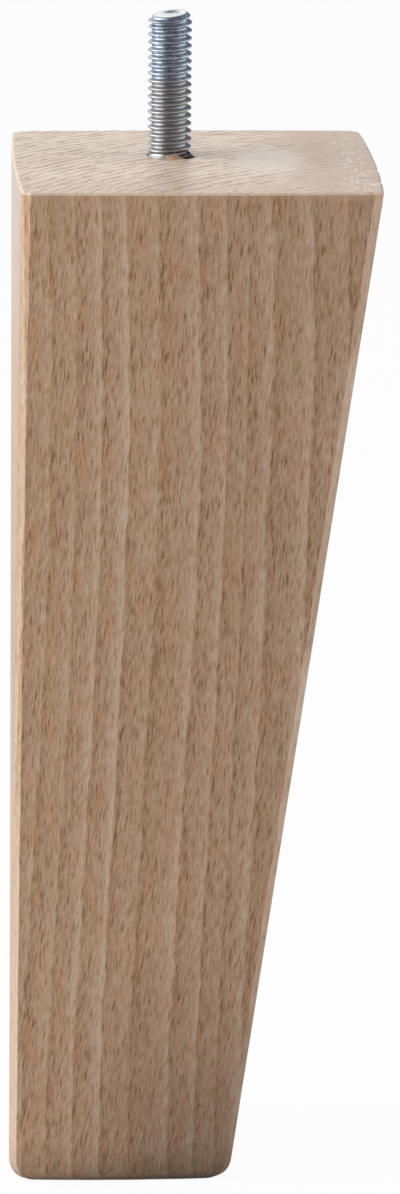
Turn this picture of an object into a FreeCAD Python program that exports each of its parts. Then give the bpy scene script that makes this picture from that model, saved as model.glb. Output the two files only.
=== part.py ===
import FreeCAD, Part
import os
import Sketcher

# A furniture leg sawn from one block of wood, with a hanger bolt screwed into its top.
# The left and back sides stand upright, and the right and front sides slope in to the foot.
# The bolt's axis is the Z axis, the foot stands on Z = 0, and the front looks along -Y.

# Driving dimensions in millimetres: name, value, meaning
DIMENSIONS = (
    ("leg_height", 190.0, "foot to the seat that meets the furniture"),
    ("seat_width", 64.0, "left to right corner at the seat"),
    ("seat_depth", 64.0, "front to back corner at the seat"),
    ("foot_width", 39.2, "left to right corner at the foot"),
    ("foot_depth", 39.2, "front to back corner at the foot"),
    ("side_crown", 0.7, "bow of each sanded side between its corners"),
    ("seat_corner_cut", 1.6, "width of wood planed off each long edge at the seat"),
    ("foot_corner_cut", 0.9, "width of wood planed off each long edge at the foot"),
    ("foot_edge_radius", 3.2, "rounding round the foot"),
    ("seat_edge_break", 0.4, "small bevel round the seat"),
    ("bolt_from_left", 27.7, "left side to the bolt's axis"),
    ("bolt_from_back", 25.6, "back side to the bolt's axis"),
    ("thread_diameter", 7.94, "outside of the machine thread"),
    ("stud_length", 26.0, "machine thread standing out of the seat"),
    ("end_chamfer", 0.9, "bevel at the stud's free end"),
    ("dish_diameter", 4.2, "hollow that thread rolling leaves in the free end"),
    ("dish_depth", 0.4, "depth of that hollow"),
    ("shank_diameter", 7.0, "plain shank below the machine thread"),
    ("shank_length", 7.0, "seat to the end of the plain shank"),
    ("screw_diameter", 5.6, "core of the wood screw"),
    ("screw_length", 26.0, "end of the shank to the tip of the point"),
    ("point_length", 7.0, "tapered point of the wood screw"),
    ("tip_diameter", 0.6, "blunt tip of the point"),
    ("mouth_clearance", 0.42, "gap between the thread and the mouth of the bore"),
    ("mouth_depth", 1.8, "depth of the widened mouth"),
    ("bolt_clearance", 0.05, "gap round the shank and the wood screw"),
    ("bore_room", 2.0, "drilled depth left below the point"),
)

TOUCHING = 0.01

# A sketch's own numbers for the two ends of an edge, and for its origin and upright axis
START, END = range(1, 3)
ORIGIN, UPRIGHT_AXIS = range(-1, -3, -1)


def make_sheet(doc):
    sheet = doc.addObject("Spreadsheet::Sheet", "dims")
    for row, (name, value, meaning) in enumerate(DIMENSIONS, 1):
        sheet.set(f"A{row}", meaning)
        sheet.set(f"B{row}", str(value))
        sheet.setAlias(f"B{row}", name)
    doc.recompute()
    return sheet


def add_sketch(body, name, plane_role):
    sketch = body.newObject("Sketcher::SketchObject", name)
    planes = [plane for plane in body.Origin.OriginFeatures if plane.Role == plane_role]
    sketch.AttachmentSupport = [(planes[0], "")]
    sketch.MapMode = "FlatFace"
    return sketch


def bind(sketch, constraint, expression):
    index = sketch.addConstraint(constraint)
    sketch.setExpression(f"Constraints[{index}]", expression)


def add_crowned_outline(body, sheet, name, width_name, depth_name):
    """Four bowed sides. The left and back corners keep their distance from the bolt's axis."""
    left = -sheet.get("bolt_from_left")
    back = sheet.get("bolt_from_back")
    right = left + sheet.get(width_name)
    front = back - sheet.get(depth_name)
    corners = [(left, front), (right, front), (right, back), (left, back)]
    corners = [FreeCAD.Vector(x, y, 0) for x, y in corners]

    sketch = add_sketch(body, name, "XY_Plane")
    for start, end in zip(corners, corners[1:] + corners[:1]):
        along = (end - start).normalize()
        outward = FreeCAD.Vector(along.y, -along.x, 0)
        middle = (start + end) / 2 + outward * sheet.get("side_crown")
        sketch.addGeometry(Part.Arc(start, middle, end), False)
    front_side, right_side, back_side, left_side = range(4)
    for side in range(4):
        sketch.addConstraint(Sketcher.Constraint("Coincident", side, END, (side + 1) % 4, START))
    for side in (front_side, back_side):
        sketch.addConstraint(Sketcher.Constraint("Horizontal", side, START, side, END))
    for side in (right_side, left_side):
        sketch.addConstraint(Sketcher.Constraint("Vertical", side, START, side, END))

    width = f"dims.{width_name}"
    depth = f"dims.{depth_name}"
    crown = "dims.side_crown"
    left_gap = Sketcher.Constraint("DistanceX", front_side, START, ORIGIN, START, -left)
    back_gap = Sketcher.Constraint("DistanceY", ORIGIN, START, back_side, START, back)
    across = Sketcher.Constraint("DistanceX", front_side, START, front_side, END, right - left)
    deep = Sketcher.Constraint("DistanceY", right_side, START, right_side, END, back - front)
    bind(sketch, left_gap, "dims.bolt_from_left")
    bind(sketch, back_gap, "dims.bolt_from_back")
    bind(sketch, across, width)
    bind(sketch, deep, depth)
    for side, chord in ((front_side, width), (right_side, depth), (back_side, width), (left_side, depth)):
        radius = sketch.Geometry[side].Radius
        bow = f"{chord} ^ 2 / (8 * {crown}) + {crown} / 2"
        bind(sketch, Sketcher.Constraint("Radius", side, radius), bow)
    return sketch


def add_turned_outline(body, name, corners):
    """Half section on the XZ plane. Each corner is a radius, 0 on the axis, and a height."""
    sketch = add_sketch(body, name, "XZ_Plane")
    count = len(corners)
    rough = [FreeCAD.Vector(1 + index % 2, 1 + index, 0) for index in range(count)]
    for start, end in zip(rough, rough[1:] + rough[:1]):
        sketch.addGeometry(Part.LineSegment(start, end), False)
    for line in range(count):
        sketch.addConstraint(Sketcher.Constraint("Coincident", line, END, (line + 1) % count, START))
    for line, (radius, height) in enumerate(corners):
        point = rough[line]
        if radius == 0:
            sketch.addConstraint(Sketcher.Constraint("PointOnObject", line, START, UPRIGHT_AXIS))
        else:
            bind(sketch, Sketcher.Constraint("DistanceX", ORIGIN, START, line, START, point.x), radius)
        bind(sketch, Sketcher.Constraint("DistanceY", ORIGIN, START, line, START, point.y), height)
    return sketch


def build_blank(doc, sheet):
    """The tapered block with its stepped bore, before its edges are rounded."""
    body = doc.addObject("PartDesign::Body", "leg_blank")
    foot = add_crowned_outline(body, sheet, "foot_outline", "foot_width", "foot_depth")
    seat = add_crowned_outline(body, sheet, "seat_outline", "seat_width", "seat_depth")
    seat.setExpression("AttachmentOffset.Base.z", "dims.leg_height")
    taper = body.newObject("PartDesign::AdditiveLoft", "taper")
    taper.Profile = foot
    taper.Sections = [seat]
    taper.Ruled = True
    doc.recompute()

    seat_level = "dims.leg_height"
    mouth_floor = "dims.leg_height - dims.mouth_depth"
    shank_floor = "dims.leg_height - dims.shank_length - dims.bolt_clearance"
    pilot_start = f"{shank_floor} - (dims.shank_diameter - dims.screw_diameter) / 2"
    pilot_floor = "dims.leg_height - dims.shank_length - dims.screw_length - dims.bore_room"
    mouth = "dims.thread_diameter / 2 + dims.mouth_clearance"
    shank_bore = "dims.shank_diameter / 2 + dims.bolt_clearance"
    pilot_bore = "dims.screw_diameter / 2 + dims.bolt_clearance"
    outline = add_turned_outline(body, "bore_outline", [
        (0, seat_level),
        (mouth, seat_level),
        (mouth, mouth_floor),
        (shank_bore, mouth_floor),
        (shank_bore, shank_floor),
        (pilot_bore, pilot_start),
        (pilot_bore, pilot_floor),
        (0, pilot_floor),
    ])
    solid_volume = body.Shape.Volume
    bore = body.newObject("PartDesign::Groove", "bore")
    bore.Profile = outline
    bore.ReferenceAxis = (outline, ["V_Axis"])
    bore.Angle = 360
    doc.recompute()
    if body.Shape.Volume >= solid_volume:
        raise RuntimeError("the bore removes no wood")
    return body


def add_corner_planes(body, sheet, name, width_name, depth_name, cut_name):
    """A square on its point round the block. Its sides are the bevels of the four long edges."""
    middle_x = sheet.get(width_name) / 2 - sheet.get("bolt_from_left")
    middle_y = sheet.get("bolt_from_back") - sheet.get(depth_name) / 2
    reach = (sheet.get(width_name) + sheet.get(depth_name)) / 2 - sheet.get(cut_name)
    middle = FreeCAD.Vector(middle_x, middle_y, 0)
    points = [middle + FreeCAD.Vector(x, y, 0) * reach for x, y in ((0, -1), (1, 0), (0, 1), (-1, 0))]

    sketch = add_sketch(body, name, "XY_Plane")
    for start, end in zip(points, points[1:] + points[:1]):
        sketch.addGeometry(Part.LineSegment(start, end), False)
    front, right, back, left = range(4)
    for side in range(4):
        sketch.addConstraint(Sketcher.Constraint("Coincident", side, END, (side + 1) % 4, START))
    sketch.addConstraint(Sketcher.Constraint("Vertical", front, START, back, START))
    sketch.addConstraint(Sketcher.Constraint("Horizontal", left, START, right, START))
    across = f"(dims.{width_name} + dims.{depth_name}) / 2 - dims.{cut_name}"
    from_left = f"dims.{width_name} / 2 - dims.bolt_from_left"
    from_back = f"dims.bolt_from_back - dims.{depth_name} / 2"
    bind(sketch, Sketcher.Constraint("DistanceX", ORIGIN, START, front, START, points[front].x), from_left)
    bind(sketch, Sketcher.Constraint("DistanceY", ORIGIN, START, right, START, points[right].y), from_back)
    bind(sketch, Sketcher.Constraint("DistanceX", front, START, right, START, reach), across)
    bind(sketch, Sketcher.Constraint("DistanceX", left, START, front, START, reach), across)
    bind(sketch, Sketcher.Constraint("DistanceY", front, START, right, START, reach), across)
    bind(sketch, Sketcher.Constraint("DistanceY", right, START, back, START, reach), across)
    return sketch


def build_corner_planes(doc, sheet):
    """The space inside the bevels of the four long edges."""
    body = doc.addObject("PartDesign::Body", "corner_planes")
    foot = add_corner_planes(body, sheet, "foot_corners", "foot_width", "foot_depth", "foot_corner_cut")
    seat = add_corner_planes(body, sheet, "seat_corners", "seat_width", "seat_depth", "seat_corner_cut")
    seat.setExpression("AttachmentOffset.Base.z", "dims.leg_height")
    inside = body.newObject("PartDesign::AdditiveLoft", "inside_bevels")
    inside.Profile = foot
    inside.Sections = [seat]
    inside.Ruled = True
    doc.recompute()
    return body


def build_leg(doc, sheet, blank, corner_planes):
    """The blank with its foot rounded, its four long edges planed off and its seat bevelled."""
    seat_level = sheet.get("leg_height")
    radius = sheet.get("foot_edge_radius")
    foot_edges = [
        (number, radius, radius)
        for number, edge in enumerate(blank.Shape.Edges, 1)
        if edge.BoundBox.ZMax < TOUCHING
    ]
    rounding = doc.addObject("Part::Fillet", "rounded_blank")
    rounding.Base = blank
    rounding.Edges = foot_edges
    planed = doc.addObject("Part::Common", "planed_blank")
    planed.Base = rounding
    planed.Tool = corner_planes
    doc.recompute()

    bevel = sheet.get("seat_edge_break")
    bevelled = []
    for number, edge in enumerate(planed.Shape.Edges, 1):
        at_seat = edge.BoundBox.ZMin > seat_level - TOUCHING
        is_bore_rim = edge.isClosed()
        if at_seat and not is_bore_rim:
            bevelled.append((number, bevel, bevel))
    leg = doc.addObject("Part::Chamfer", "bevelled_leg")
    leg.Label = "wooden_leg"
    leg.Base = planed
    leg.Edges = bevelled
    doc.recompute()
    return leg


def build_bolt(doc):
    """Chamfered, dished stud above the seat; plain shank and pointed wood screw below it."""
    body = doc.addObject("PartDesign::Body", "bolt")
    body.Label = "hanger_bolt"
    stud_end = "dims.leg_height + dims.stud_length"
    seat_level = "dims.leg_height"
    shank_end = "dims.leg_height - dims.shank_length"
    tip = f"{shank_end} - dims.screw_length"
    thread = "dims.thread_diameter / 2"
    shank = "dims.shank_diameter / 2"
    screw = "dims.screw_diameter / 2"
    outline = add_turned_outline(body, "bolt_outline", [
        (0, f"{stud_end} - dims.dish_depth"),
        ("dims.dish_diameter / 2", stud_end),
        (f"{thread} - dims.end_chamfer", stud_end),
        (thread, f"{stud_end} - dims.end_chamfer"),
        (thread, seat_level),
        (shank, f"{seat_level} - ({thread} - {shank})"),
        (shank, shank_end),
        (screw, f"{shank_end} - ({shank} - {screw})"),
        (screw, f"{tip} + dims.point_length"),
        ("dims.tip_diameter / 2", tip),
        (0, tip),
    ])
    turned = body.newObject("PartDesign::Revolution", "turned_bolt")
    turned.Profile = outline
    turned.ReferenceAxis = (outline, ["V_Axis"])
    turned.Angle = 360
    doc.recompute()
    return body


def check_and_write(doc, nodes):
    for item in doc.Objects:
        if "Invalid" in item.State or "Error" in item.State:
            raise RuntimeError(f"{item.Label} failed: {item.State}")
    for node in nodes:
        if node.Shape.isNull() or not node.Shape.isValid():
            raise RuntimeError(f"{node.Label} has no valid shape")
    os.makedirs("parts", exist_ok=True)
    for node in nodes:
        node.Shape.exportStep(f"parts/{node.Label}.step")
        print(node.Label, len(node.Shape.Solids), "solid", round(node.Shape.Volume, 1), "mm3")


doc = FreeCAD.newDocument("furniture_leg")
sheet = make_sheet(doc)
blank = build_blank(doc, sheet)
corner_planes = build_corner_planes(doc, sheet)
leg = build_leg(doc, sheet, blank, corner_planes)
bolt = build_bolt(doc)
check_and_write(doc, [leg, bolt])
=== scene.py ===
"""Looks of the tapered wooden furniture leg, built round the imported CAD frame."""
import math

import bpy
from mathutils import Matrix, Vector, noise


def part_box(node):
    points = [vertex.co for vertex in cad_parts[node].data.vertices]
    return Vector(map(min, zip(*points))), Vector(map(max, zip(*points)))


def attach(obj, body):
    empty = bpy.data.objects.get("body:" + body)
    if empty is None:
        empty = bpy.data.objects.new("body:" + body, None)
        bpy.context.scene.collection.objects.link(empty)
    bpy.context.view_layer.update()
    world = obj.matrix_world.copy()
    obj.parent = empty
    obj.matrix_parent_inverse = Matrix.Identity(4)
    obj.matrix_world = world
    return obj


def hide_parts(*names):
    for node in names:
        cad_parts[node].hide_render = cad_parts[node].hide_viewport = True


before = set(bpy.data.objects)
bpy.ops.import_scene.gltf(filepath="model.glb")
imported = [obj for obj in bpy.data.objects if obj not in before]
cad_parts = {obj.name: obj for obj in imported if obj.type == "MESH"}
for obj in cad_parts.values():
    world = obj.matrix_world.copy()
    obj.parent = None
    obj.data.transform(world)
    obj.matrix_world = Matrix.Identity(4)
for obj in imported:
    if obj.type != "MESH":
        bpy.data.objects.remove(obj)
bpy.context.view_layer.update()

MM = 0.001
TURN = 2 * math.pi

# The leg, in millimetres. The bolt's axis is X = Y = 0, and the front looks along -Y.
LEG_LOW, LEG_HIGH = (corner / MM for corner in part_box("wooden_leg"))
LEG_HEIGHT = LEG_HIGH.z
SIDE_CROWN = 0.7
SEAT_WIDTH = 64.0
FOOT_WIDTH = 39.2
LEFT = LEG_LOW.x + SIDE_CROWN
BACK = LEG_HIGH.y - SIDE_CROWN
TAPER = (SEAT_WIDTH - FOOT_WIDTH) / LEG_HEIGHT
SEAT_CORNER_CUT = 1.6
FOOT_CORNER_CUT = 0.9
# The roundings of the foot's front, right, back and left edges.
FOOT_EDGE_RADII = (2.6, 4.2, 3.2, 4.4)
FOOT_ROUNDING = max(FOOT_EDGE_RADII)
SEAT_EDGE_BREAK = 0.4
MOUTH_RADIUS = 4.39
MOUTH_DEPTH = 1.8
SHANK_BORE_RADIUS = 3.55
SHANK_BORE_DEPTH = 7.05
PILOT_BORE_RADIUS = 2.85
PILOT_BORE_DEPTH = 35.0

# The bolt, in millimetres.
BOLT_LOW, BOLT_HIGH = (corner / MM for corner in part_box("hanger_bolt"))
STUD_END = BOLT_HIGH.z
BOLT_TIP = BOLT_LOW.z
THREAD_RADIUS = 3.97
THREAD_PITCH = 25.4 / 18
THREAD_DEPTH = 0.541 * THREAD_PITCH
THREAD_CREST = THREAD_PITCH / 8
THREAD_FLANK = math.tan(math.radians(30))
THREAD_RUN_OUT = 2.4
THREAD_START = LEG_HEIGHT - 1.0
COLLAR_RADIUS = 3.82
COLLAR_RISE = 1.0
END_CHAMFER = 0.9
DISH_RADIUS = 2.1
DISH_DEPTH = 0.4
DISH_OFFSET = 0.4
SHANK_RADIUS = 3.5
SHANK_END = LEG_HEIGHT - 7.0
SHANK_STEP = 0.7
SCREW_RADIUS = 2.8
SCREW_PITCH = 3.2
SCREW_RIDGE = 0.95
SCREW_CREST = 0.15
SCREW_FLANK = 0.4
SCREW_START = 0.15
POINT_LENGTH = 7.0
TIP_RADIUS = 0.3


class Graph:
    """The nodes of one new material. Each method adds a node and gives its output."""

    def __init__(self, name):
        self.material = bpy.data.materials.new(name)
        self.material.use_nodes = True
        self.tree = self.material.node_tree
        self.tree.nodes.clear()

    def feed(self, socket, value):
        if isinstance(value, bpy.types.NodeSocket):
            self.tree.links.new(value, socket)
        else:
            socket.default_value = value

    def add(self, kind, inputs=(), **settings):
        node = self.tree.nodes.new(kind)
        for name, value in settings.items():
            setattr(node, name, value)
        for name, value in dict(inputs).items():
            self.feed(node.inputs[name], value)
        return node

    def math(self, operation, *values, clamp=False):
        node = self.add("ShaderNodeMath", operation=operation, use_clamp=clamp)
        for socket, value in zip(node.inputs, values):
            self.feed(socket, value)
        return node.outputs[0]

    def total(self, first, *others):
        for other in others:
            first = self.math("ADD", first, other)
        return first

    def product(self, first, *others):
        for other in others:
            first = self.math("MULTIPLY", first, other)
        return first

    def swing(self, value, reach):
        """A noise value, which lies about 0.5, as a change of up to half of reach either way."""
        return self.math("MULTIPLY_ADD", value, reach, -reach / 2)

    def ease(self, value, start, end, low=0.0, high=1.0):
        """Goes smoothly from low at start to high at end, and stays level outside them."""
        inputs = {"Value": value, "From Min": start, "From Max": end, "To Min": low, "To Max": high}
        node = self.add("ShaderNodeMapRange", inputs, interpolation_type="SMOOTHSTEP", clamp=True)
        return node.outputs[0]

    def length(self, first, second):
        squares = self.total(self.product(first, first), self.product(second, second))
        return self.math("SQRT", squares)

    def vector(self, x, y, z=0.0):
        return self.add("ShaderNodeCombineXYZ", {"X": x, "Y": y, "Z": z}).outputs[0]

    def split(self, vector):
        return self.add("ShaderNodeSeparateXYZ", {"Vector": vector}).outputs

    def stretch(self, vector, factors):
        node = self.add("ShaderNodeVectorMath", operation="MULTIPLY")
        self.feed(node.inputs[0], vector)
        node.inputs[1].default_value = factors
        return node.outputs[0]

    def noise(self, vector, detail=2.0, roughness=0.5):
        inputs = {"Vector": vector, "Scale": 1.0, "Detail": detail, "Roughness": roughness}
        return self.add("ShaderNodeTexNoise", inputs, noise_dimensions="3D").outputs["Fac"]

    def mix(self, share, first, second, blend="MIX"):
        node = self.add("ShaderNodeMix", data_type="RGBA", clamp_factor=True, blend_type=blend)
        self.feed(node.inputs[0], share)
        for socket, colour in ((node.inputs[6], first), (node.inputs[7], second)):
            self.feed(socket, colour if isinstance(colour, bpy.types.NodeSocket) else (*colour, 1.0))
        return node.outputs[2]

    def ramp(self, value, colours):
        """Colours at even steps from 0 to 1."""
        node = self.add("ShaderNodeValToRGB", {"Fac": value})
        stops = node.color_ramp.elements
        last = len(colours) - 1
        while len(stops) < len(colours):
            stops.new(0.5)
        for number, colour in enumerate(colours):
            stops[number].position = number / last
            stops[number].color = (*colour, 1.0)
        return node.outputs["Color"]

    def bump(self, height, strength, distance):
        inputs = {"Height": height, "Strength": strength, "Distance": distance}
        return self.add("ShaderNodeBump", inputs).outputs[0]

    def finish(self, **inputs):
        """Closes the material with one Principled shader."""
        shader = self.add("ShaderNodeBsdfPrincipled")
        for name, value in inputs.items():
            self.feed(shader.inputs[name.replace("_", " ")], value)
        self.add("ShaderNodeOutputMaterial", {"Surface": shader.outputs[0]})
        return self.material


# Beech, as a solid texture in the leg's own millimetres.
PITH = Vector((70.6, -63.2))
SWAY = 2.1
SWAY_START = 75.0
SWAY_LENGTH = 150.0
RING_WANDER = 0.8
RING_WIDTH = 4.225
RING_START = 70.1
# Where rings lie off their even places: distance from the pith, reach and shift.
RING_SHIFTS = ((83.4, 9.0, 2.0), (75.3, 4.0, -1.0))
GRAIN_LEAN = (0.151, -0.00026)

# From the darkest fleck to the palest band.
WOOD_TONES = (
    (0.23, 0.12, 0.058),
    (0.35, 0.205, 0.112),
    (0.46, 0.285, 0.175),
    (0.52, 0.35, 0.235),
    (0.585, 0.43, 0.32),
)
# From the palest wood between the lines to the darkest line.
END_GRAIN_TONES = (
    (0.84, 0.685, 0.55),
    (0.66, 0.48, 0.35),
    (0.495, 0.305, 0.185),
    (0.355, 0.185, 0.095),
)
END_GRAIN_TAN = (0.505, 0.32, 0.195)
OLIVE = (0.985, 1.02, 1.015)
ROSY = (1.03, 0.97, 0.95)
HEARTWOOD = (0.92, 0.92, 0.92)
# Sapwood, also used as painted light on the faces turned left and right.
SAPWOOD_AND_PAINTED_LIGHT = (0.76, 0.66, 0.58)
HANDLED = (0.25, 0.22, 0.20)
# Rubbed wood; on the pale patch also painted light.
RUBBED_AND_PAINTED_LIGHT = (0.80, 0.70, 0.61)
# Worn wood and a painted highlight along the seat's edge.
WORN_EDGE_AND_HIGHLIGHT = (0.68, 0.54, 0.43)
STAIN = (0.34, 0.17, 0.085)
# Painted shade in the chip and on the bolt standing in it, partly dark colour.
PAINTED_CHIP_SHADE = (0.05, 0.03, 0.02)
# Painted shade and contact shadow at the foot.
FOOT_SHADE = (0.07, 0.045, 0.028)

# Detail and roughness of the noises.
PLAIN = (2.0, 0.6)
RAGGED = (3.0, 0.6)
BROKEN = (3.0, 0.65)
GRAINY = (2.0, 0.7)
SPECKLED = (3.0, 0.7)
SCRATCHY = (4.0, 0.7)

# Noise cells in a millimetre along X, Y and Z.
WANDER_SCALE = (0.06, 0.06, 0.012)
FINE_SCALE = (3.2, 3.2, 0.15)
STREAK_SCALE = (0.6, 0.6, 0.015)
CLOUD_SCALE = (0.09, 0.09, 0.03)
HUE_SCALE = (0.5, 0.5, 0.06)
PATCH_SCALE = (0.45, 0.45, 0.45)
FLAKE_SCALE = (0.95, 0.95, 0.95)
GRAZE_SCALE = (1.1, 0.28, 1.0)
FOOT_SHADE_SCALE = (0.12, 0.12, 0.12)


def place_in_mm(graph):
    """A point of the piece in millimetres, whole and as x, y and z."""
    coordinates = graph.add("ShaderNodeTexCoord").outputs["Object"]
    place = graph.stretch(coordinates, (1 / MM,) * 3)
    return place, graph.split(place)


def from_heart(graph, place, x, y, z):
    """Distance from the tree's heart and the bearing round it. The heart leans with the front and sways."""
    wave = math.pi / SWAY_LENGTH
    sway = graph.math("SINE", graph.math("MULTIPLY_ADD", z, wave, -wave * SWAY_START))
    across = graph.math("SUBTRACT", graph.math("MULTIPLY_ADD", sway, -SWAY, x), PITH.x)
    deep = graph.math("MULTIPLY_ADD", z, TAPER, graph.math("SUBTRACT", y, PITH.y))
    wander = graph.noise(graph.stretch(place, WANDER_SCALE))
    radius = graph.math("ADD", graph.length(across, deep), graph.swing(wander, 2 * RING_WANDER))
    return radius, graph.math("ARCTAN2", deep, across)


def ring_count(graph, radius):
    """A number that grows by 1 from each pale band to the next."""
    shifted = radius
    for centre, reach, shift in RING_SHIFTS:
        away = graph.math("ABSOLUTE", graph.math("SUBTRACT", radius, centre))
        shifted = graph.math("ADD", shifted, graph.ease(away, reach, 0.0, 0.0, shift))
    return graph.math("MULTIPLY_ADD", shifted, 1 / RING_WIDTH, -RING_START / RING_WIDTH)


BAND_LEAD = 0.2
BAND_FRAY = 0.22
BAND_STRENGTH = 0.55
BRIGHTEST_RING = 6
BRIGHTEST_EXTRA = 0.4
RING_BEAT = 1.9
RING_BEAT_START = 1.15
RING_BEAT_REACH = 0.22
# Here and below, what Graph.ease takes after its value: start, end and, if not 0 and 1, low and high.
BAND_ONSET = (0.0, 0.05)
BAND_FADE = (0.6, 0.15, 0.0, 0.62)
BAND_CORE = (0.26, 0.1, 0.0, 0.5)
LATE_ONSET = (0.68, 0.95)
LATE_END = (1.0, 0.96)


def year_bands(graph, rings, fibre):
    """Each ring starts with a pale band of its own strength, which fades, and ends in a darker line."""
    count = graph.total(rings, BAND_LEAD, graph.swing(fibre, BAND_FRAY))
    number = graph.math("FLOOR", count)
    phase = graph.math("FRACT", count)
    beat = graph.math("SINE", graph.math("MULTIPLY_ADD", number, RING_BEAT, RING_BEAT_START))
    is_brightest = graph.math("COMPARE", number, BRIGHTEST_RING, 0.5)
    own = graph.math("MULTIPLY_ADD", is_brightest, BRIGHTEST_EXTRA, BAND_STRENGTH)
    strength = graph.math("MULTIPLY_ADD", beat, RING_BEAT_REACH, own)
    fading = graph.math("ADD", graph.ease(phase, *BAND_FADE), graph.ease(phase, *BAND_CORE))
    pale = graph.product(graph.ease(phase, *BAND_ONSET), fading, strength)
    late = graph.product(graph.ease(phase, *LATE_ONSET), graph.ease(phase, *LATE_END))
    return pale, late


def grain_place(graph, x, y, z):
    """The point with the lean of the fibres taken out."""
    lean = graph.product(z, graph.math("MULTIPLY_ADD", z, GRAIN_LEAN[1], GRAIN_LEAN[0]))
    return graph.vector(graph.math("SUBTRACT", x, lean), y, z)


LEAST_FLECK = 0.4
FLECK_EDGE = (1.0, 0.3)


def flecks(graph, grain, width, length, reach):
    """Thin spindles where rays meet the surface, at most one to a cell of width by width by length."""
    cells = graph.add(
        "ShaderNodeTexVoronoi",
        {"Vector": graph.stretch(grain, (1 / width, 1 / width, 1 / length)), "Scale": 1.0},
        voronoi_dimensions="3D",
        feature="F1",
    )
    own = graph.split(cells.outputs["Color"])[0]
    size = graph.math("MULTIPLY_ADD", own, reach, LEAST_FLECK * reach)
    core = graph.math("DIVIDE", cells.outputs["Distance"], size)
    return graph.ease(core, *FLECK_EDGE)


# Width and length of a fleck's cell in millimetres, and the reach of the fleck in it.
LARGE_FLECKS = (0.62, 9.5, 0.36)
SMALL_FLECKS = (0.35, 5.0, 0.42)
LARGE_FLECK_SHARE = 0.9
SMALL_FLECK_SHARE = 0.75
SIDE_TONE = 0.545
PALE_SHARE = 0.36
STREAK_SHARE = 0.47
FINE_SHARE = 1.22
CLOUD_SHARE = 0.18
LATE_SHARE = 0.14
FLECK_SHARE = 0.42
FLECK_RELIEF = -0.6
FINE_RELIEF = 0.5


def side_tone(graph, place, grain, rings):
    """How pale the wood of the sides is, 0 to 1, how high its fibres stand, and the fibres themselves."""
    fine = graph.noise(graph.stretch(grain, FINE_SCALE))
    streak = graph.noise(graph.stretch(grain, STREAK_SCALE), *RAGGED)
    cloud = graph.noise(graph.stretch(place, CLOUD_SCALE))
    large = graph.product(flecks(graph, grain, *LARGE_FLECKS), LARGE_FLECK_SHARE)
    small = graph.product(flecks(graph, grain, *SMALL_FLECKS), SMALL_FLECK_SHARE)
    rays = graph.math("MAXIMUM", large, small)
    pale, late = year_bands(graph, rings, streak)
    light = graph.total(
        graph.product(pale, PALE_SHARE),
        graph.swing(streak, STREAK_SHARE),
        graph.swing(fine, FINE_SHARE),
        graph.swing(cloud, CLOUD_SHARE),
    )
    dark = graph.math("MULTIPLY_ADD", late, LATE_SHARE, graph.product(rays, FLECK_SHARE))
    tone = graph.math("ADD", graph.math("SUBTRACT", light, dark), SIDE_TONE, clamp=True)
    relief = graph.math("MULTIPLY_ADD", rays, FLECK_RELIEF, graph.product(fine, FINE_RELIEF))
    return tone, relief, fine


# The end grain's noises: cells in a millimetre along the rings and across them.
LINE_BREAKS = (0.2, 0.8)
DASHES = (0.22, 2.6)
END_RAYS = (2.6, 0.12)
PORES = (3.4, 3.4)
LINES_PER_RING = 2.0
LINE_WANDER = 2.2
LINE_ONSET = (0.25, 0.8)
LINE_END = (1.0, 0.86)
LINE_GAPS = (0.3, 0.62, 0.0, 0.95)
DASH_SHARE = 1.0
END_RAY_SHARE = 0.35
PORE_SHARE = 0.65
END_TONE = 0.08


def flat_noise(graph, along, across, scale, grade):
    """Noise over two measures, with scale cells to a millimetre of each."""
    return graph.noise(graph.vector(graph.product(along, scale[0]), graph.product(across, scale[1])), *grade)


def end_tone(graph, x, y, radius, bearing, rings):
    """How dark the end grain is, 0 to 1: broken lines along the rings, dashes, pores and faint rays."""
    along = graph.product(bearing, PITH.length)
    broken = flat_noise(graph, along, radius, LINE_BREAKS, BROKEN)
    dashes = flat_noise(graph, along, radius, DASHES, PLAIN)
    rays = flat_noise(graph, along, radius, END_RAYS, PLAIN)
    pores = flat_noise(graph, x, y, PORES, GRAINY)
    count = graph.math("MULTIPLY_ADD", rings, LINES_PER_RING, graph.swing(broken, LINE_WANDER))
    phase = graph.math("FRACT", count)
    line = graph.product(graph.ease(phase, *LINE_ONSET), graph.ease(phase, *LINE_END))
    return graph.total(
        graph.product(line, graph.ease(broken, *LINE_GAPS)),
        graph.swing(dashes, DASH_SHARE),
        graph.swing(rays, END_RAY_SHARE),
        graph.swing(pores, PORE_SHARE),
        END_TONE,
    )


NEAR_SEAT = (LEG_HEIGHT - 2.0, LEG_HEIGHT - 0.3)
TAN_RIGHT = (14.0, 28.0)
TAN_FRONT = (-16.0, -36.0, 0.0, 0.5)
TAN_PATCHES = 0.6
# The pale patch: partly rubbed wood, partly painted light over the bolt's shadow.
PALE_PATCH_CENTRE = Vector((17.5, -6.0))
PALE_PATCH_REACH = Vector((6.5, 13.5))
PALE_PATCH_RAGGED = 1.4
PALE_PATCH_RIM = (1.25, 0.6, 0.0, 0.62)
SCUFF_LINE = 32.6
SCUFF_LINE_SPREAD = (4.5, 0.0, 0.0, 0.8)
SCUFF_LINE_END = (24.0, 12.0)
SCUFFED_CORNER = Vector((33.0, -28.5))
SCUFFED_CORNER_SPREAD = (5.5, 2.5)
GRAZED = (0.46, 0.66)
LEVEL = (0.6, 0.9)
# The seat's edge: partly wear, partly a painted highlight.
EDGE_TOP = (0.97, 0.8)
EDGE_BOTTOM = (0.2, 0.5)
EDGE_FLAKES = (0.25, 0.5, 0.0, 0.85)
STAIN_REACH = (6.6, 4.9)
STAIN_SPREAD = (0.7, 0.4)
STAIN_FLAKES = (0.35, 0.65, 0.95, 0.5)
# Painted shade in the chip, partly dark wood.
CHIP_SHADE_REACH = (5.6, 5.1, 0.0, 0.85)
CHIP_SHADE_SPREAD = (0.65, 0.35)
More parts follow.
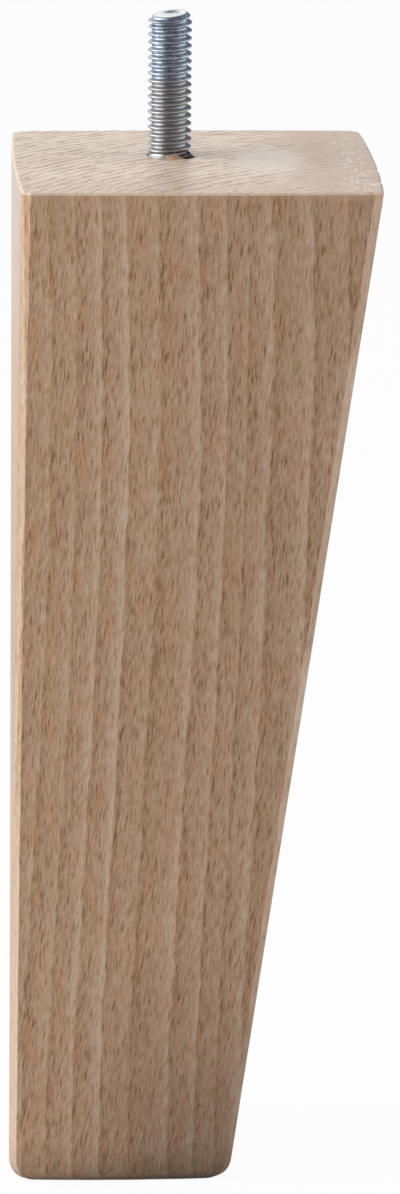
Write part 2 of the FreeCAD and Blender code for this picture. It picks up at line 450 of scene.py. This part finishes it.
# Bearings clockwise from +X, in degrees.
CHIP_BEARING = 42
SPLINTER_BEARING = 85


def tan_side(graph, colour, x, y, near_seat, patchy):
    """The seat is tan towards its right and its front."""
    side = graph.math("MAXIMUM", graph.ease(x, *TAN_RIGHT), graph.ease(y, *TAN_FRONT))
    patches = graph.math("MULTIPLY_ADD", patchy, TAN_PATCHES, 1 - TAN_PATCHES)
    return graph.mix(graph.product(side, near_seat, patches), colour, END_GRAIN_TAN)


def pale_patch_and_painted_light(graph, colour, x, y, near_seat, patchy):
    """A pale oval to the right of the bolt: partly rubbed wood, partly painted light where the bolt's shadow
    falls.
    """
    aside = graph.math("MULTIPLY_ADD", x, 1 / PALE_PATCH_REACH.x, -PALE_PATCH_CENTRE.x / PALE_PATCH_REACH.x)
    beyond = graph.math("MULTIPLY_ADD", y, 1 / PALE_PATCH_REACH.y, -PALE_PATCH_CENTRE.y / PALE_PATCH_REACH.y)
    away = graph.math("ADD", graph.length(aside, beyond), graph.swing(patchy, PALE_PATCH_RAGGED))
    return graph.mix(graph.product(graph.ease(away, *PALE_PATCH_RIM), near_seat), colour, RUBBED_AND_PAINTED_LIGHT)


def scuffs(graph, colour, place, x, y, near_seat, upward):
    """Grazes along the seat's right edge and in its right front corner."""
    from_line = graph.math("ABSOLUTE", graph.math("SUBTRACT", x, SCUFF_LINE))
    line = graph.product(graph.ease(from_line, *SCUFF_LINE_SPREAD), graph.ease(y, *SCUFF_LINE_END))
    from_corner = graph.length(
        graph.math("SUBTRACT", x, SCUFFED_CORNER.x),
        graph.math("SUBTRACT", y, SCUFFED_CORNER.y),
    )
    scuffed = graph.math("MAXIMUM", line, graph.ease(from_corner, *SCUFFED_CORNER_SPREAD))
    grazes = graph.ease(graph.noise(graph.stretch(place, GRAZE_SCALE), *SCRATCHY), *GRAZED)
    share = graph.product(scuffed, grazes, graph.ease(upward, *LEVEL), near_seat)
    return graph.mix(share, colour, RUBBED_AND_PAINTED_LIGHT)


def worn_edge_and_highlight(graph, colour, near_seat, upward, flakes):
    """A pale line along the seat's broken edge: partly wear, partly a painted highlight."""
    edge = graph.product(graph.ease(upward, *EDGE_TOP), graph.ease(upward, *EDGE_BOTTOM), near_seat)
    return graph.mix(graph.product(edge, graph.ease(flakes, *EDGE_FLAKES)), colour, WORN_EDGE_AND_HIGHLIGHT)


def stained_and_shaded_mouth(graph, colour, x, y, near_seat, flakes):
    """Orange wood round the splinter, and painted shade, partly dark wood, in the hollow at the chip."""
    reach = graph.length(x, y)
    bearing = graph.math("ARCTAN2", y, x)
    from_splinter = graph.math("ABSOLUTE", graph.math("ADD", bearing, math.radians(SPLINTER_BEARING)))
    stained = graph.product(graph.ease(reach, *STAIN_REACH), graph.ease(from_splinter, *STAIN_SPREAD))
    colour = graph.mix(graph.product(stained, near_seat, graph.ease(flakes, *STAIN_FLAKES)), colour, STAIN)
    from_chip = graph.math("ABSOLUTE", graph.math("ADD", bearing, math.radians(CHIP_BEARING)))
    gap_shade = graph.product(graph.ease(reach, *CHIP_SHADE_REACH), graph.ease(from_chip, *CHIP_SHADE_SPREAD), near_seat)
    return graph.mix(gap_shade, colour, PAINTED_CHIP_SHADE)


def seat_marks_and_painted_light(graph, colour, place, x, y, z, upward):
    """Everything that has marked the seat, with painted light on the pale patch and the edge, and painted
    shade in the chip.
    """
    near_seat = graph.ease(z, *NEAR_SEAT)
    patchy = graph.noise(graph.stretch(place, PATCH_SCALE), *BROKEN)
    flakes = graph.noise(graph.stretch(place, FLAKE_SCALE), *RAGGED)
    colour = tan_side(graph, colour, x, y, near_seat, patchy)
    colour = pale_patch_and_painted_light(graph, colour, x, y, near_seat, patchy)
    colour = scuffs(graph, colour, place, x, y, near_seat, upward)
    colour = worn_edge_and_highlight(graph, colour, near_seat, upward, flakes)
    return stained_and_shaded_mouth(graph, colour, x, y, near_seat, flakes)


# Painted shade where the foot meets the floor, and a painted contact shadow along its bottom edge.
FOOT_SHADE_WANDER = 6.0
FOOT_SHADE_HEIGHT = (52.0, 0.0)
FOOT_SHADE_ACROSS = (-28.0, 8.0, 0.0, 0.43)
NEAR_FLOOR = (9.0, 1.0)
NEAR_FLOOR_ACROSS = (-28.0, 0.0, 0.23, 0.38)
CONTACT_SHADOW_LINE = (1.35, 0.35, 0.0, 0.85)
CONTACT_SHADOW_ACROSS = (-24.0, 10.0, 1.0, 0.65)


def painted_foot_shade(graph, colour, x, z):
    """Painted shade: the foot is darker where it meets the floor, more so on its right, with a painted
    contact shadow along its bottom edge.
    """
    shade_noise = graph.noise(graph.stretch(graph.vector(x, z), FOOT_SHADE_SCALE), *RAGGED)
    height = graph.math("ADD", z, graph.swing(shade_noise, FOOT_SHADE_WANDER))
    broad = graph.product(graph.ease(height, *FOOT_SHADE_HEIGHT), graph.ease(x, *FOOT_SHADE_ACROSS))
    near = graph.product(graph.ease(z, *NEAR_FLOOR), graph.ease(x, *NEAR_FLOOR_ACROSS))
    colour = graph.mix(near, graph.mix(broad, colour, FOOT_SHADE), FOOT_SHADE)
    line = graph.product(z, graph.ease(x, *CONTACT_SHADOW_ACROSS))
    return graph.mix(graph.ease(line, *CONTACT_SHADOW_LINE), colour, FOOT_SHADE)


HUE_TURN = (0.35, 0.65)
HEARTWOOD_ONSET = (102.0, 70.0)
SAPWOOD_ONSET = (110.5, 117.0, 0.0, 0.35)
HANDLED_SIDE = (LEFT + 0.2, LEFT - 0.2)
HANDLED_HEIGHT = (140.0, 186.0, 0.0, 0.3)
# Painted light on the faces turned left, towards the foot, and on those turned right, above it.
FACING_LEFT = (-0.45, -0.8)
PAINTED_LIGHT_LEFT_HEIGHT = (110.0, 50.0, 0.0, 0.38)
FACING_RIGHT = (0.35, 0.6)
PAINTED_LIGHT_RIGHT_HEIGHT = (4.0, 30.0, 0.0, 0.17)
END_GRAIN_ONSET = (0.65, 0.92)
WOOD_ROUGHNESS = 0.28
FIBRE_ROUGHNESS = 0.2
WOOD_BUMP_STRENGTH = 0.3
WOOD_BUMP_DISTANCE = 0.12 * MM
WOOD_SHEEN = 0.2
WOOD_SHEEN_ROUGHNESS = 0.35


def side_colour(graph, place, x, z, radius, tone, sideways):
    """The wood of the sides: darker at heart and paler in the sapwood, with painted light that makes the
    faces turned left and right paler.
    """
    hue = graph.noise(graph.stretch(place, HUE_SCALE), *PLAIN)
    tint = graph.mix(graph.ease(hue, *HUE_TURN), OLIVE, ROSY)
    colour = graph.mix(1.0, graph.ramp(tone, WOOD_TONES), tint, "MULTIPLY")
    colour = graph.mix(graph.ease(radius, *HEARTWOOD_ONSET), colour, HEARTWOOD, "MULTIPLY")
    colour = graph.mix(graph.ease(radius, *SAPWOOD_ONSET), colour, SAPWOOD_AND_PAINTED_LIGHT)
    handled = graph.product(graph.ease(x, *HANDLED_SIDE), graph.ease(z, *HANDLED_HEIGHT))
    colour = graph.mix(handled, colour, HANDLED)
    # Painted light: the faces turned left and right are paler.
    painted_light_left = graph.product(graph.ease(sideways, *FACING_LEFT), graph.ease(z, *PAINTED_LIGHT_LEFT_HEIGHT))
    painted_light_right = graph.product(graph.ease(sideways, *FACING_RIGHT), graph.ease(z, *PAINTED_LIGHT_RIGHT_HEIGHT))
    return graph.mix(graph.math("ADD", painted_light_left, painted_light_right), colour, SAPWOOD_AND_PAINTED_LIGHT)


def beech_material():
    graph = Graph("beech_wood")
    place, (x, y, z) = place_in_mm(graph)
    normal = graph.split(graph.add("ShaderNodeTexCoord").outputs["Normal"])
    upward = graph.math("ABSOLUTE", normal[2])
    radius, bearing = from_heart(graph, place, x, y, z)
    rings = ring_count(graph, radius)
    tone, relief, fine = side_tone(graph, place, grain_place(graph, x, y, z), rings)
    side = side_colour(graph, place, x, z, radius, tone, normal[0])
    end = graph.ramp(end_tone(graph, x, y, radius, bearing, rings), END_GRAIN_TONES)
    colour = graph.mix(graph.ease(upward, *END_GRAIN_ONSET), side, end)
    colour = painted_foot_shade(graph, colour, x, z)
    return graph.finish(
        Base_Color=seat_marks_and_painted_light(graph, colour, place, x, y, z, upward),
        Roughness=graph.math("MULTIPLY_ADD", fine, FIBRE_ROUGHNESS, WOOD_ROUGHNESS),
        Normal=graph.bump(relief, WOOD_BUMP_STRENGTH, WOOD_BUMP_DISTANCE),
        Sheen_Weight=WOOD_SHEEN,
        Sheen_Roughness=WOOD_SHEEN_ROUGHNESS,
    )


ZINC_PALE = (0.56, 0.63, 0.73)
ZINC_DULL = (0.36, 0.41, 0.48)
# Painted shade in the thread's roots.
ROOT_SHADE = (0.20, 0.21, 0.23)
ZINC_BROWN = (0.44, 0.425, 0.40)
ZINC_END = (0.84, 0.89, 0.91)
ZINC_CLOUD_SCALE = (0.9, 0.9, 0.9)
ZINC_SPECK_SCALE = (5.0, 5.0, 5.0)
ZINC_CLOUDS = (0.35, 0.65)
BROWN_WANDER = 2.0
BROWN_HEIGHT = (204.6, 203.4, 0.0, 0.7)
ROOT_SHADE_ONSET = (THREAD_RADIUS - 0.35 * THREAD_DEPTH, THREAD_RADIUS - THREAD_DEPTH, 0.0, 0.55)
UNDER_END = (STUD_END - 0.5, STUD_END - 1.5)
# Painted shade at the bolt's foot, where it stands in the chip.
CHIP_SHADE_HEIGHT = (LEG_HEIGHT + 1.9, LEG_HEIGHT + 0.7)
CHIP_SHADE_RIGHT = (0.6, 2.0, 0.0, 0.85)
FACING_UP = (0.9, 0.97)
ZINC_ROUGHNESS = 0.25
SPECK_ROUGHNESS = 0.3
SAWN_ROUGHNESS = -0.2
ZINC_BUMP_STRENGTH = 0.25
ZINC_BUMP_DISTANCE = 0.06 * MM


def zinc_material():
    """Cloudy zinc, browner below, with painted shade in the thread's roots and at its foot beside the chip,
    and bright where sawn.
    """
    graph = Graph("zinc_plate")
    place, (x, y, z) = place_in_mm(graph)
    cloud = graph.noise(graph.stretch(place, ZINC_CLOUD_SCALE), *RAGGED)
    specks = graph.noise(graph.stretch(place, ZINC_SPECK_SCALE), *SPECKLED)
    colour = graph.mix(graph.ease(cloud, *ZINC_CLOUDS), ZINC_PALE, ZINC_DULL)
    height = graph.math("ADD", z, graph.swing(cloud, BROWN_WANDER))
    colour = graph.mix(graph.ease(height, *BROWN_HEIGHT), colour, ZINC_BROWN)
    under_end = graph.ease(z, *UNDER_END)
    # Painted shade in the thread's roots.
    root = graph.product(graph.ease(graph.length(x, y), *ROOT_SHADE_ONSET), under_end)
    colour = graph.mix(root, colour, ROOT_SHADE)
    # Painted shade at the bolt's foot, where it stands in the chip.
    bolt_foot_shade = graph.product(graph.ease(z, *CHIP_SHADE_HEIGHT), graph.ease(x, *CHIP_SHADE_RIGHT))
    colour = graph.mix(bolt_foot_shade, colour, PAINTED_CHIP_SHADE)
    normal = graph.split(graph.add("ShaderNodeTexCoord").outputs["Normal"])
    sawn = graph.product(graph.ease(normal[2], *FACING_UP), graph.math("SUBTRACT", 1.0, under_end))
    colour = graph.mix(sawn, colour, ZINC_END)
    rough = graph.math("MULTIPLY_ADD", specks, SPECK_ROUGHNESS, ZINC_ROUGHNESS)
    return graph.finish(
        Base_Color=colour,
        Metallic=1.0,
        Roughness=graph.math("MULTIPLY_ADD", sawn, SAWN_ROUGHNESS, rough),
        Normal=graph.bump(specks, ZINC_BUMP_STRENGTH, ZINC_BUMP_DISTANCE),
    )


def skin(name, rings, first_pole, last_pole):
    """A closed mesh through rings with equal numbers of points, in millimetres, with a pole at each end."""
    count = len(rings[0])
    points = [point for ring in rings for point in ring]
    start, end = len(points), len(points) + 1
    top = start - count
    faces = []
    for column in range(count):
        after = (column + 1) % count
        faces.append((start, after, column))
        for low in range(0, top, count):
            high = low + count
            faces.append((low + column, low + after, high + after, high + column))
        faces.append((end, top + column, top + after))
    mesh = bpy.data.meshes.new(name)
    mesh.from_pydata([Vector(point) * MM for point in [*points, first_pole, last_pole]], [], faces)
    mesh.shade_smooth()
    piece = bpy.data.objects.new(name, mesh)
    bpy.context.scene.collection.objects.link(piece)
    return piece


def circle(columns, radius, height):
    return [(radius * math.cos(turn), radius * math.sin(turn), height) for turn in columns]


SIDE_STEPS = 38
EDGE_SOFTNESS = 0.1
LEAST_CUT = 0.12
CUT_WAVER = 0.15
WAVER_LENGTH = 7
WAVER_APART = 9.0
# The left front edge leans out by FLARE towards the foot. There the left side is flatter,
# and the edge is planed further into it.
FRONT_SHARE = 0.92
FRONT_FADE = 1.33
FLARE = 1.26
FLARED_CROWN = 0.07
FLARED_CUT = 2.0


def near_edges(length, softness):
    """Distances along a strip that keep its two edges crisp, with none on the edges themselves."""
    return [softness, 3 * softness, length / 2, length - 3 * softness, length - softness]


def rounded(height, radius):
    """How far a side is pulled in by the rounding of its bottom edge."""
    below = max(radius - height, 0.0)
    return radius - math.sqrt(radius * radius - below * below)


def outline(height, inset=0.0):
    """The leg's section at a height, counter-clockwise: crowned sides pulled in by inset, and bevels."""
    front, right, back, left = (inset + rounded(height, radius) for radius in FOOT_EDGE_RADII)
    width = FOOT_WIDTH + TAPER * height
    low = Vector((LEFT + left, BACK - width + front))
    high = Vector((LEFT + width - right, BACK - back))
    lean = 1 - height / LEG_HEIGHT
    corners = (
        Vector((low.x - FLARE * lean, low.y)),
        Vector((high.x, low.y)),
        high,
        Vector((low.x, high.y)),
    )
    cuts = [planed(height, number) for number in range(4)]
    # Sides and bevels are pulled in alike, which makes the bevels narrower.
    spread = (math.sqrt(2) - 2) * inset
    sides = []
    for number, corner in enumerate(corners):
        after = (number + 1) % 4
        crown = SIDE_CROWN if after else SIDE_CROWN + (FLARED_CROWN - SIDE_CROWN) * lean
        first = max(cuts[number][1] + spread, LEAST_CUT)
        last = max(cuts[after][0] + spread, LEAST_CUT)
        sides.append(crowned_side(corner, corners[after], crown, first, last))
    points = []
    for number, side in enumerate(sides):
        start, end = sides[number - 1][-1], side[0]
        length = (end - start).length
        softness = min(EDGE_SOFTNESS, length / 8)
        points += [start.lerp(end, reach / length) for reach in near_edges(length, softness)]
        points += side
    return [(point.x, point.y, height) for point in points]


def planed(height, corner):
    """How far a long edge is planed into the sides before and after it, uneven as by hand."""
    share = height / LEG_HEIGHT
    even = FOOT_CORNER_CUT + (SEAT_CORNER_CUT - FOOT_CORNER_CUT) * share
    cut = even + CUT_WAVER * noise.noise((height / WAVER_LENGTH, WAVER_APART * corner, 0.0))
    if corner:
        return cut, cut
    into_front = cut * FRONT_SHARE * share ** FRONT_FADE + FLARE * (1 - share)
    into_left = cut + FLARED_CUT * (1 - share) ** 2 * min(height / FOOT_ROUNDING, 1.0)
    return into_left, into_front


def crowned_side(start, end, crown, first_cut, last_cut):
    """Points of one bowed side from bevel to bevel, close together beside the bevels."""
    length = (end - start).length
    run = (end - start).normalized()
    out = Vector((run.y, -run.x))
    # A bowed side leaves its corner at a slope, so it meets the bevel a little further on.
    spring = 1 - 4 * crown / length
    first = first_cut / spring
    last = length - last_cut / spring
    reaches = [first, first + EDGE_SOFTNESS, first + 3 * EDGE_SOFTNESS]
    reaches += [first + (last - first) * step / SIDE_STEPS for step in range(1, SIDE_STEPS)]
    reaches += [last - 3 * EDGE_SOFTNESS, last - EDGE_SOFTNESS, last]
    return [start + run * reach + out * crown * (1 - (2 * reach / length - 1) ** 2) for reach in reaches]


FOOT_STEPS = 10
FOOT_RINGS = 5
BODY_ROWS = 170
BODY_MARGIN = 1.0
SEAT_RINGS = 34
CHIP_WIDTH = 0.45
CHIP_REACH = 1.4
FIBRE_REACH = 0.36
MOUTH_RAGGED = 0.12
MOUTH_SCALE = 6
SPLINTER_WIDTH = 0.36
SPLINTER_HEIGHT = 0.7
SPLINTER_RAGGED = 3
SPLINTER_STEEPNESS = 60
SEAT_CROWDING = 1.6


def mouth_edge(bearings):
    """The bore's mouth, half closed by fibres and broken out on its right front."""
    points = []
    for bearing in bearings:
        away = (bearing + math.radians(CHIP_BEARING)) / CHIP_WIDTH
        around = (MOUTH_SCALE * math.cos(bearing), MOUTH_SCALE * math.sin(bearing), 0.0)
        ragged = MOUTH_RAGGED * noise.noise(around)
        radius = MOUTH_RADIUS - FIBRE_REACH + CHIP_REACH * math.exp(-away * away) + max(ragged, 0.0)
        lift = (bearing + math.radians(SPLINTER_BEARING)) / SPLINTER_WIDTH
        height = LEG_HEIGHT + (SPLINTER_HEIGHT + SPLINTER_RAGGED * ragged) * math.exp(-lift ** 4)
        points.append((radius * math.cos(bearing), radius * math.sin(bearing), height))
    return points


def towards_mouth(edge, hole, share):
    """A point of the seat, which is level except close to the splinter."""
    x, y, _ = Vector(edge).lerp(Vector(hole), share)
    return (x, y, LEG_HEIGHT + (hole[2] - LEG_HEIGHT) * share ** SPLINTER_STEEPNESS)


def leg_rings():
    """Rings from the middle of the foot up the sides, over the seat and down the bore."""
    sole = outline(0.0)
    rings = []
    for ring in range(1, FOOT_RINGS):
        share = ring / FOOT_RINGS
        rings.append([(x * share, y * share, z) for x, y, z in sole])
    for step in range(FOOT_STEPS):
        turn = step / FOOT_STEPS * math.pi / 2
        rings.append(outline(FOOT_ROUNDING * (1 - math.cos(turn))))
    top_of_sides = LEG_HEIGHT - SEAT_EDGE_BREAK
    for row in range(BODY_ROWS):
        rings.append(outline(FOOT_ROUNDING + (top_of_sides - BODY_MARGIN - FOOT_ROUNDING) * row / BODY_ROWS))
    for below in (3 * EDGE_SOFTNESS, EDGE_SOFTNESS, 0.0):
        rings.append(outline(top_of_sides - below))
    for inset in (0.25 * SEAT_EDGE_BREAK, 0.75 * SEAT_EDGE_BREAK, SEAT_EDGE_BREAK):
        rings.append(outline(top_of_sides + inset, inset))
    for beyond in (EDGE_SOFTNESS, 3 * EDGE_SOFTNESS):
        rings.append(outline(LEG_HEIGHT, SEAT_EDGE_BREAK + beyond))
    rim = rings[-1]
    bearings = [math.atan2(y, x) for x, y, _ in rim]
    mouth = mouth_edge(bearings)
    for ring in range(1, SEAT_RINGS + 1):
        share = 1 - (1 - ring / SEAT_RINGS) ** SEAT_CROWDING
        rings.append([towards_mouth(edge, hole, share) for edge, hole in zip(rim, mouth)])
    bore = (
        (MOUTH_RADIUS, MOUTH_DEPTH),
        (SHANK_BORE_RADIUS, MOUTH_DEPTH),
        (SHANK_BORE_RADIUS, SHANK_BORE_DEPTH),
        (PILOT_BORE_RADIUS, SHANK_BORE_DEPTH + SHANK_BORE_RADIUS - PILOT_BORE_RADIUS),
        (PILOT_BORE_RADIUS, PILOT_BORE_DEPTH),
    )
    rings += [circle(bearings, radius, LEG_HEIGHT - depth) for radius, depth in bore]
    return rings


SANDING_DEPTH = 0.05
SANDING_LENGTH = 16
EDGE_WEAR = 0.12
EDGE_WEAR_LENGTH = 5
EDGE_SLANT = 2.6
EDGE_SLANT_START = 0.4
DEEPEST_WEAR = 1.0
# Knocks in the edges: x, y, z, radius and depth.
DENTS = (
    (-27.0, -30.3, 130.0, 1.5, 0.4),
    (35.4, -26.0, 190.0, 1.5, 0.4),
    (36.4, -14.0, 189.8, 1.2, 0.25),
    (18.8, -39.0, 188.6, 1.1, 0.25),
    (20.0, 26.0, 96.0, 1.8, 0.35),
)


def wear(piece):
    """Sanding waves on the faces, rubbed edges and a few knocks, all of them inwards."""
    normals = [vertex.normal.copy() for vertex in piece.data.vertices]
    for vertex, normal in zip(piece.data.vertices, normals):
        point = vertex.co / MM
        depth = SANDING_DEPTH * (0.5 + 0.5 * noise.noise(point / SANDING_LENGTH))
        slants = (abs(normal.x * normal.y), abs(normal.x * normal.z), abs(normal.y * normal.z))
        edge = min(max(EDGE_SLANT * max(slants) - EDGE_SLANT_START, 0.0), 1.0)
        depth += EDGE_WEAR * edge * max(noise.noise(point / EDGE_WEAR_LENGTH), 0.0)
        for x, y, z, radius, hollow in DENTS:
            away = (point - Vector((x, y, z))).length / radius
            depth += hollow * math.exp(-away * away)
        vertex.co -= normal * min(depth, DEEPEST_WEAR) * MM
    piece.data.update()


def make_leg():
    bore_floor = (0.0, 0.0, LEG_HEIGHT - PILOT_BORE_DEPTH)
    leg = skin("beech_leg", leg_rings(), (0.0, 0.0, 0.0), bore_floor)
    wear(leg)
    leg.data.materials.append(beech_material())
    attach(leg, "root")
    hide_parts("wooden_leg")
    return leg


THREAD_COLUMNS = 80
THREAD_ROWS_PER_PITCH = 16
SCREW_ROWS_PER_PITCH = 14
THREAD_PHASE = 0.69
DISH_STEPS = 5
ASKEW = (0.11, 0.09)
ASKEW_REACH = 2.5
ASKEW_LOSS = 0.2


def thread_height(height, turn, pitch, crest, depth, flank):
    """How far a right-hand thread stands out of its root. A flank is flank wide for a rise of 1."""
    phase = (height / pitch - turn / TURN + THREAD_PHASE) % 1
    away = abs(phase - 0.5) * pitch - crest / 2
    return min(max(depth - away / flank, 0.0), depth)


def stud_radius(height, turn):
    """The shank, a collar at the seat, the thread running out into it, and the chamfered end."""
    root = THREAD_RADIUS - THREAD_DEPTH
    rise = thread_height(height, turn, THREAD_PITCH, THREAD_CREST, THREAD_DEPTH, THREAD_FLANK)
    run_out = min(max((height - THREAD_START) / THREAD_RUN_OUT, 0.0), 1.0)
    collar = min(max((height - THREAD_START) / COLLAR_RISE + 0.5, 0.0), 1.0)
    plain = SHANK_RADIUS + (COLLAR_RADIUS - SHANK_RADIUS) * collar
    radius = plain + (root + rise - plain) * run_out
    return min(radius, THREAD_RADIUS - END_CHAMFER + STUD_END - height)


def screw_radius(height, turn):
    """The wood screw's tapered core and its ridge, which fades out below the shank."""
    above_tip = height - BOLT_TIP
    taper = min(above_tip / POINT_LENGTH, 1.0)
    core = TIP_RADIUS + (SCREW_RADIUS - TIP_RADIUS) * taper
    rise = thread_height(height, turn, SCREW_PITCH, SCREW_CREST, SCREW_RIDGE, SCREW_FLANK)
    below_shank = min(max((SHANK_END - height) / SCREW_PITCH, 0.0), 1.0)
    return core + rise * min(taper + SCREW_START, 1.0) * below_shank


def steps_between(low, high, step):
    count = math.ceil((high - low) / step)
    return [low + (high - low) * number / count for number in range(count + 1)]


def askew(x, y, height):
    """The stud's end is sawn off a little out of square."""
    share = min(max((height - STUD_END) / ASKEW_REACH + 1, 0.0), 1.0)
    return (x, y, height + share * (ASKEW[0] * x + ASKEW[1] * y - ASKEW_LOSS))


def bolt_rings():
    """Rings from the point up the wood screw, the shank and the stud, and into its dished end."""
    columns = [TURN * column / THREAD_COLUMNS for column in range(THREAD_COLUMNS)]
    rings = []
    screw_heights = steps_between(BOLT_TIP, SHANK_END, SCREW_PITCH / SCREW_ROWS_PER_PITCH)
    stud_heights = steps_between(SHANK_END + SHANK_STEP, STUD_END, THREAD_PITCH / THREAD_ROWS_PER_PITCH)
    for heights, radius_at in ((screw_heights, screw_radius), (stud_heights, stud_radius)):
        for height in heights:
            ring = []
            for turn in columns:
                radius = radius_at(height, turn)
                ring.append(askew(math.cos(turn) * radius, math.sin(turn) * radius, height))
            rings.append(ring)
    for step in range(DISH_STEPS):
        share = step / DISH_STEPS
        sunk = DISH_DEPTH * math.sin(share * math.pi / 2)
        dish = circle(columns, DISH_RADIUS * (1 - share), STUD_END - sunk)
        rings.append([askew(x, y + DISH_OFFSET, z) for x, y, z in dish])
    return rings


def make_bolt():
    dish = askew(0.0, DISH_OFFSET, STUD_END - DISH_DEPTH)
    bolt = skin("threaded_hanger_bolt", bolt_rings(), (0.0, 0.0, BOLT_TIP), dish)
    bolt.data.materials.append(zinc_material())
    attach(bolt, "root")
    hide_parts("hanger_bolt")
    return bolt


# The studio, in metres.
PHOTO_HEIGHT = 1194
FOCAL_PIXELS = 7865.0
SENSOR = 36.0
CAMERA_PLACE = (-0.0676, -1.40094, 0.43857)
CAMERA_YAW, CAMERA_PITCH, CAMERA_ROLL = (math.radians(angle) for angle in (-3.017, -13.266, -0.455))
FLOOR_REACH = 12.0
AIM = Vector((0.0, 0.0, 0.11))
AMBIENT = 0.455
# Name, place, width, height and watts.
LAMPS = (
    ("left_box", (-1.12, -0.1, 0.52), 1.3, 0.95, 17.5),
    ("right_box", (1.16, -0.1, 0.42), 1.5, 0.8, 9.0),
)
# Cards that only reflections see: name, place, width, height and shade.
CARDS = (
    ("front_card", (-0.45, -1.55, 0.4), 1.9, 3.0, (0.05, 0.055, 0.065)),
    ("overhead_card", (0.1, 0.2, 1.6), 2.2, 2.2, (0.11, 0.12, 0.14)),
    ("right_card", (1.5, -0.6, 0.3), 2.2, 3.0, (0.16, 0.18, 0.22)),
    ("far_card", (0.95, 1.3, 0.0), 1.5, 2.2, (0.03, 0.035, 0.05)),
    ("back_card", (0.9, 1.0, 1.25), 1.5, 1.2, (0.24, 0.28, 0.36)),
    ("floor_card", (0.0, 0.0, 0.0005), 1.6, 1.6, (0.18, 0.16, 0.14)),
)


def make_camera():
    """The photograph's viewpoint, found by fitting the leg's outline."""
    data = bpy.data.cameras.new("camera")
    data.sensor_width = SENSOR
    data.lens = SENSOR * FOCAL_PIXELS / PHOTO_HEIGHT
    camera = bpy.data.objects.new("camera", data)
    bpy.context.scene.collection.objects.link(camera)
    turn = Matrix.Rotation(CAMERA_YAW, 4, "Z") @ Matrix.Rotation(CAMERA_PITCH, 4, "X")
    turn = turn @ Matrix.Rotation(CAMERA_ROLL, 4, "Y") @ Matrix.Rotation(math.pi / 2, 4, "X")
    camera.matrix_world = Matrix.Translation(CAMERA_PLACE) @ turn
    bpy.context.scene.camera = camera


def seen_directly(tree):
    """1 for what the camera, a reflection or a clear material sees, and 0 for light on the object."""
    path = tree.nodes.new("ShaderNodeLightPath")
    found = path.outputs["Is Camera Ray"]
    for name in ("Is Glossy Ray", "Is Transmission Ray"):
        either = tree.nodes.new("ShaderNodeMath")
        either.operation = "MAXIMUM"
        tree.links.new(found, either.inputs[0])
        tree.links.new(path.outputs[name], either.inputs[1])
        found = either.outputs[0]
    return found


def make_world():
    """White to the eye and a soft even light on the object."""
    world = bpy.data.worlds.new("studio")
    bpy.context.scene.world = world
    world.use_nodes = True
    tree = world.node_tree
    background = tree.nodes["Background"]
    background.inputs["Color"].default_value = (1.0, 1.0, 1.0, 1.0)
    level = tree.nodes.new("ShaderNodeMapRange")
    level.inputs["To Min"].default_value = AMBIENT
    level.inputs["To Max"].default_value = 1.0
    tree.links.new(seen_directly(tree), level.inputs["Value"])
    tree.links.new(level.outputs[0], background.inputs["Strength"])


FLOOR_COLOUR = (0.72, 0.72, 0.72, 1.0)
FLOOR_GLOW_SHARE = 0.95


def rectangle(name, width, height):
    """A flat sheet round the origin."""
    x, y = width / 2, height / 2
    mesh = bpy.data.meshes.new(name)
    mesh.from_pydata([(-x, -y, 0), (x, -y, 0), (x, y, 0), (-x, y, 0)], [], [(0, 1, 2, 3)])
    sheet = bpy.data.objects.new(name, mesh)
    bpy.context.scene.collection.objects.link(sheet)
    return sheet


def make_floor():
    """A pale floor that looks white and keeps a faint shadow."""
    floor = rectangle("floor", 2 * FLOOR_REACH, 2 * FLOOR_REACH)
    graph = Graph("pale_floor")
    matt = graph.add("ShaderNodeBsdfDiffuse", {"Color": FLOOR_COLOUR})
    glow = graph.add("ShaderNodeEmission", {"Strength": 1.0})
    share = graph.product(seen_directly(graph.tree), FLOOR_GLOW_SHARE)
    blend = graph.add("ShaderNodeMixShader", {"Fac": share})
    graph.feed(blend.inputs[1], matt.outputs[0])
    graph.feed(blend.inputs[2], glow.outputs[0])
    graph.add("ShaderNodeOutputMaterial", {"Surface": blend.outputs[0]})
    floor.data.materials.append(graph.material)


def make_lamps():
    for name, place, width, height, power in LAMPS:
        data = bpy.data.lights.new(name, "AREA")
        data.shape = "RECTANGLE"
        data.size = width
        data.size_y = height
        data.energy = power
        lamp = bpy.data.objects.new(name, data)
        lamp.location = place
        lamp.rotation_euler = (AIM - Vector(place)).to_track_quat("-Z", "Y").to_euler()
        bpy.context.scene.collection.objects.link(lamp)


def make_cards():
    """The metal needs something dark to show, as in a studio with black cards."""
    for name, place, width, height, shade in CARDS:
        card = rectangle(name, width, height)
        card.location = place
        card.rotation_euler = (AIM - Vector(place)).to_track_quat("Z", "Y").to_euler()
        graph = Graph(name)
        glow = graph.add("ShaderNodeEmission", {"Color": (*shade, 1.0), "Strength": 1.0})
        graph.add("ShaderNodeOutputMaterial", {"Surface": glow.outputs[0]})
        card.data.materials.append(graph.material)
        card.visible_camera = False
        card.visible_diffuse = False
        card.visible_transmission = False
        card.visible_shadow = False


make_camera()
make_world()
make_floor()
make_lamps()
make_cards()
make_leg()
make_bolt()
bpy.context.scene.view_settings.view_transform = "Standard"
